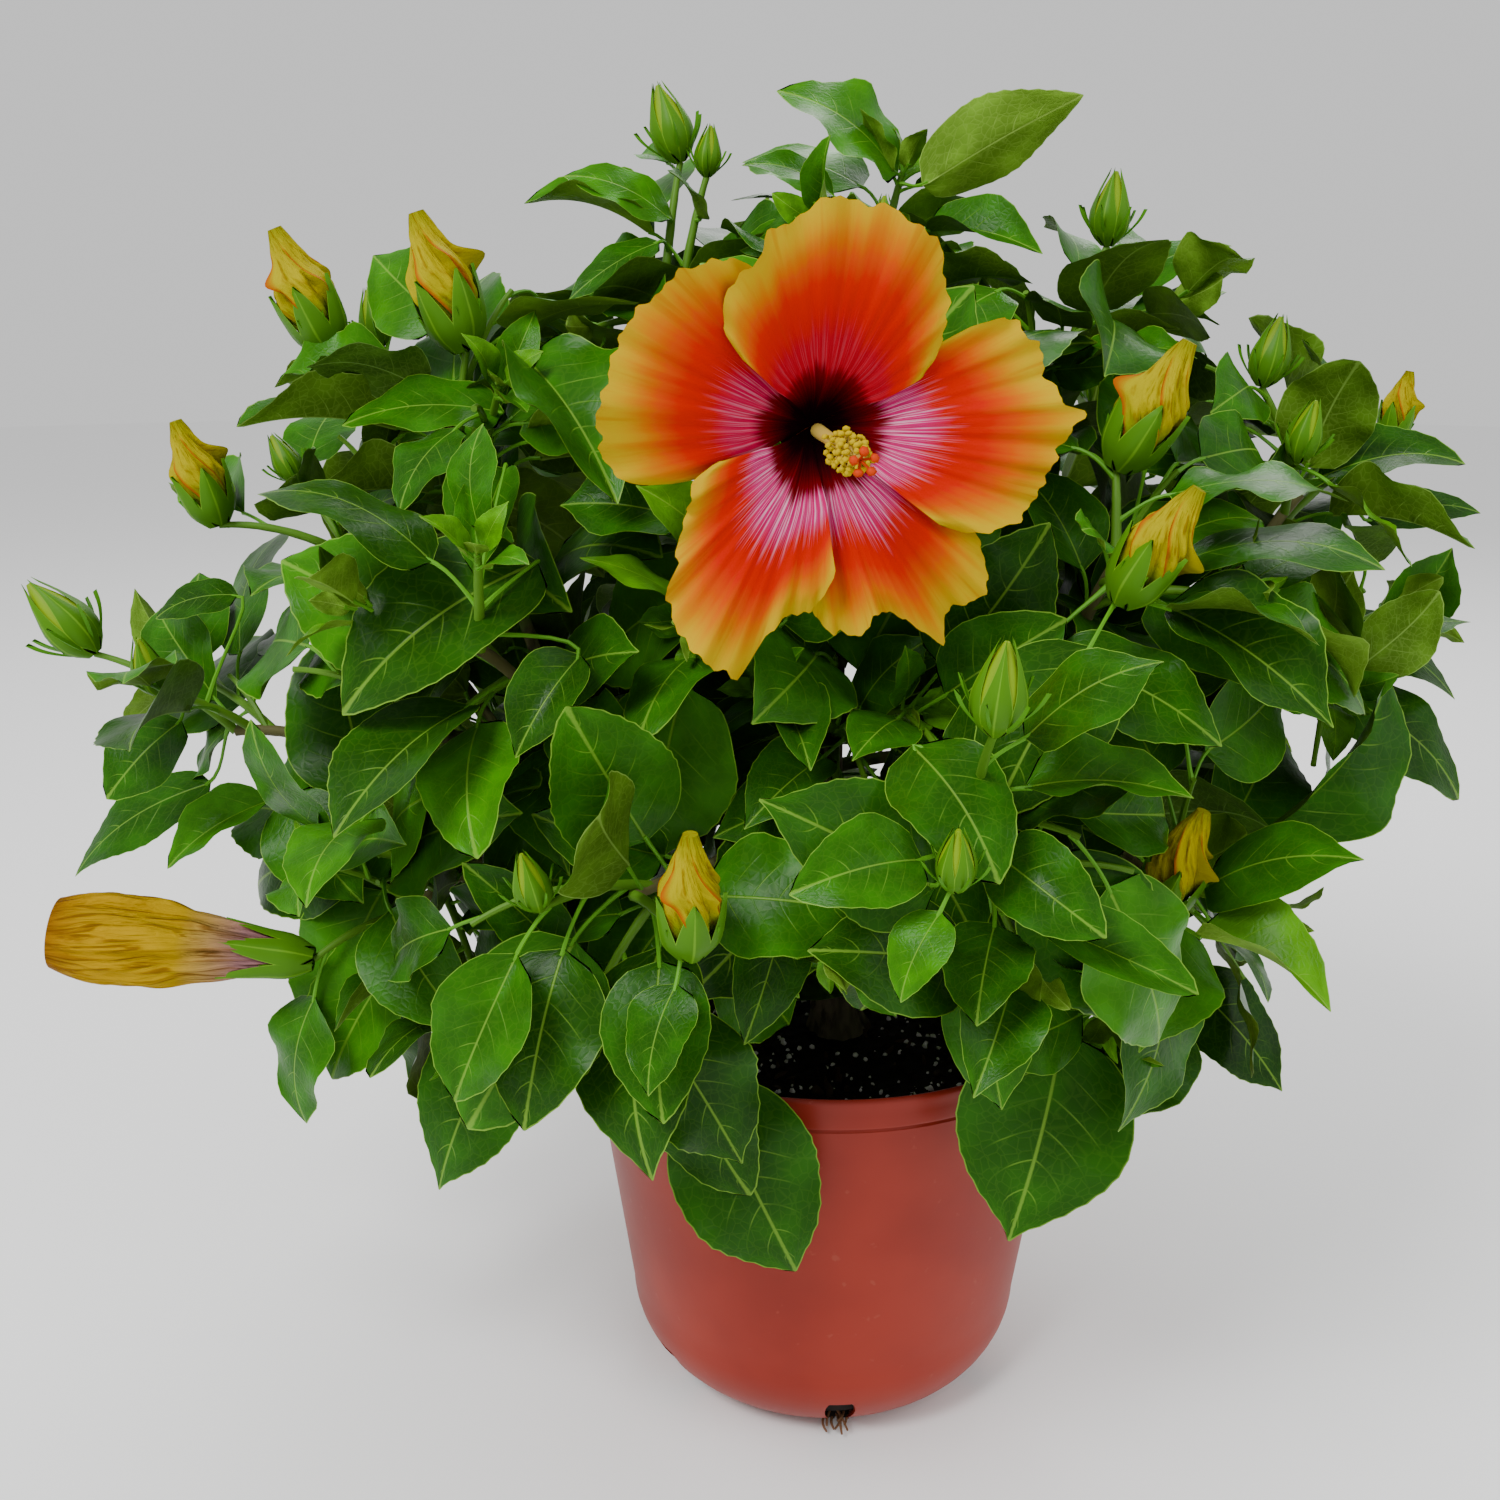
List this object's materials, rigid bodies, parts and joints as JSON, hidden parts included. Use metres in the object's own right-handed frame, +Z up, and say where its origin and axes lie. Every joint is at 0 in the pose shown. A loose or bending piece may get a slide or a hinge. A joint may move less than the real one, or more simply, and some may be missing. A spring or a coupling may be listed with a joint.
{
  "type": "potted hibiscus shrub",
  "caption": "Potted hibiscus shrub: round nursery pot with soil, short forked trunk, stems and boughs carrying leafy masses with buds, furled blossoms and one open blossom.",
  "frame": {"origin": "middle of the pot's flat underside", "axes": "+Z up along the pot's axis; the plant's front, with the open blossom, faces -Y; +X to the right seen from the front"},
  "size_m": [0.5945, 0.4635, 0.5565],
  "materials": {
    "pot": "satin terracotta-coloured moulded plastic",
    "soil": "dark loose potting mix",
    "bark": "grey-brown bark, green where young",
    "foliage": "glossy green leaves, yellow to red blossom"
  },
  "bodies": {
    "root": {"pot": "pot", "soil": "soil", "trunk": "bark", "stem_left": "bark", "stem_right": "bark", "stem_front": "bark", "stem_back": "bark", "stem_upright": "bark", "bough_left_low": "bark", "bough_left_mid": "bark", "bough_left_upper": "bark", "bough_left_drooping": "bark", "bough_centre_left": "bark", "bough_front_left": "bark", "bough_front_right": "bark", "bough_bloom_spray": "bark", "bough_right_front": "bark", "bough_right_low": "bark", "bough_right_mid": "bark", "bough_right_upper": "bark", "bough_top_right": "bark", "bough_top": "bark", "bough_top_left": "bark", "bough_middle": "bark", "bough_back_top": "bark", "bough_back_left": "bark", "bough_back_right": "bark", "bough_back_middle": "bark", "bough_back_low_left": "bark", "bough_back_low_right": "bark", "foliage_left_low": "foliage", "foliage_left_mid": "foliage", "foliage_left_upper": "foliage", "foliage_left_drooping": "foliage", "foliage_centre_left": "foliage", "foliage_front_left": "foliage", "foliage_front_right": "foliage", "foliage_bloom_spray": "foliage", "foliage_right_front": "foliage", "foliage_right_low": "foliage", "foliage_right_mid": "foliage", "foliage_right_upper": "foliage", "foliage_top_right": "foliage", "foliage_top": "foliage", "foliage_top_left": "foliage", "foliage_middle": "foliage", "foliage_back_top": "foliage", "foliage_back_left": "foliage", "foliage_back_right": "foliage", "foliage_back_middle": "foliage", "foliage_back_low_left": "foliage", "foliage_back_low_right": "foliage"}
  },
  "joints": []
}
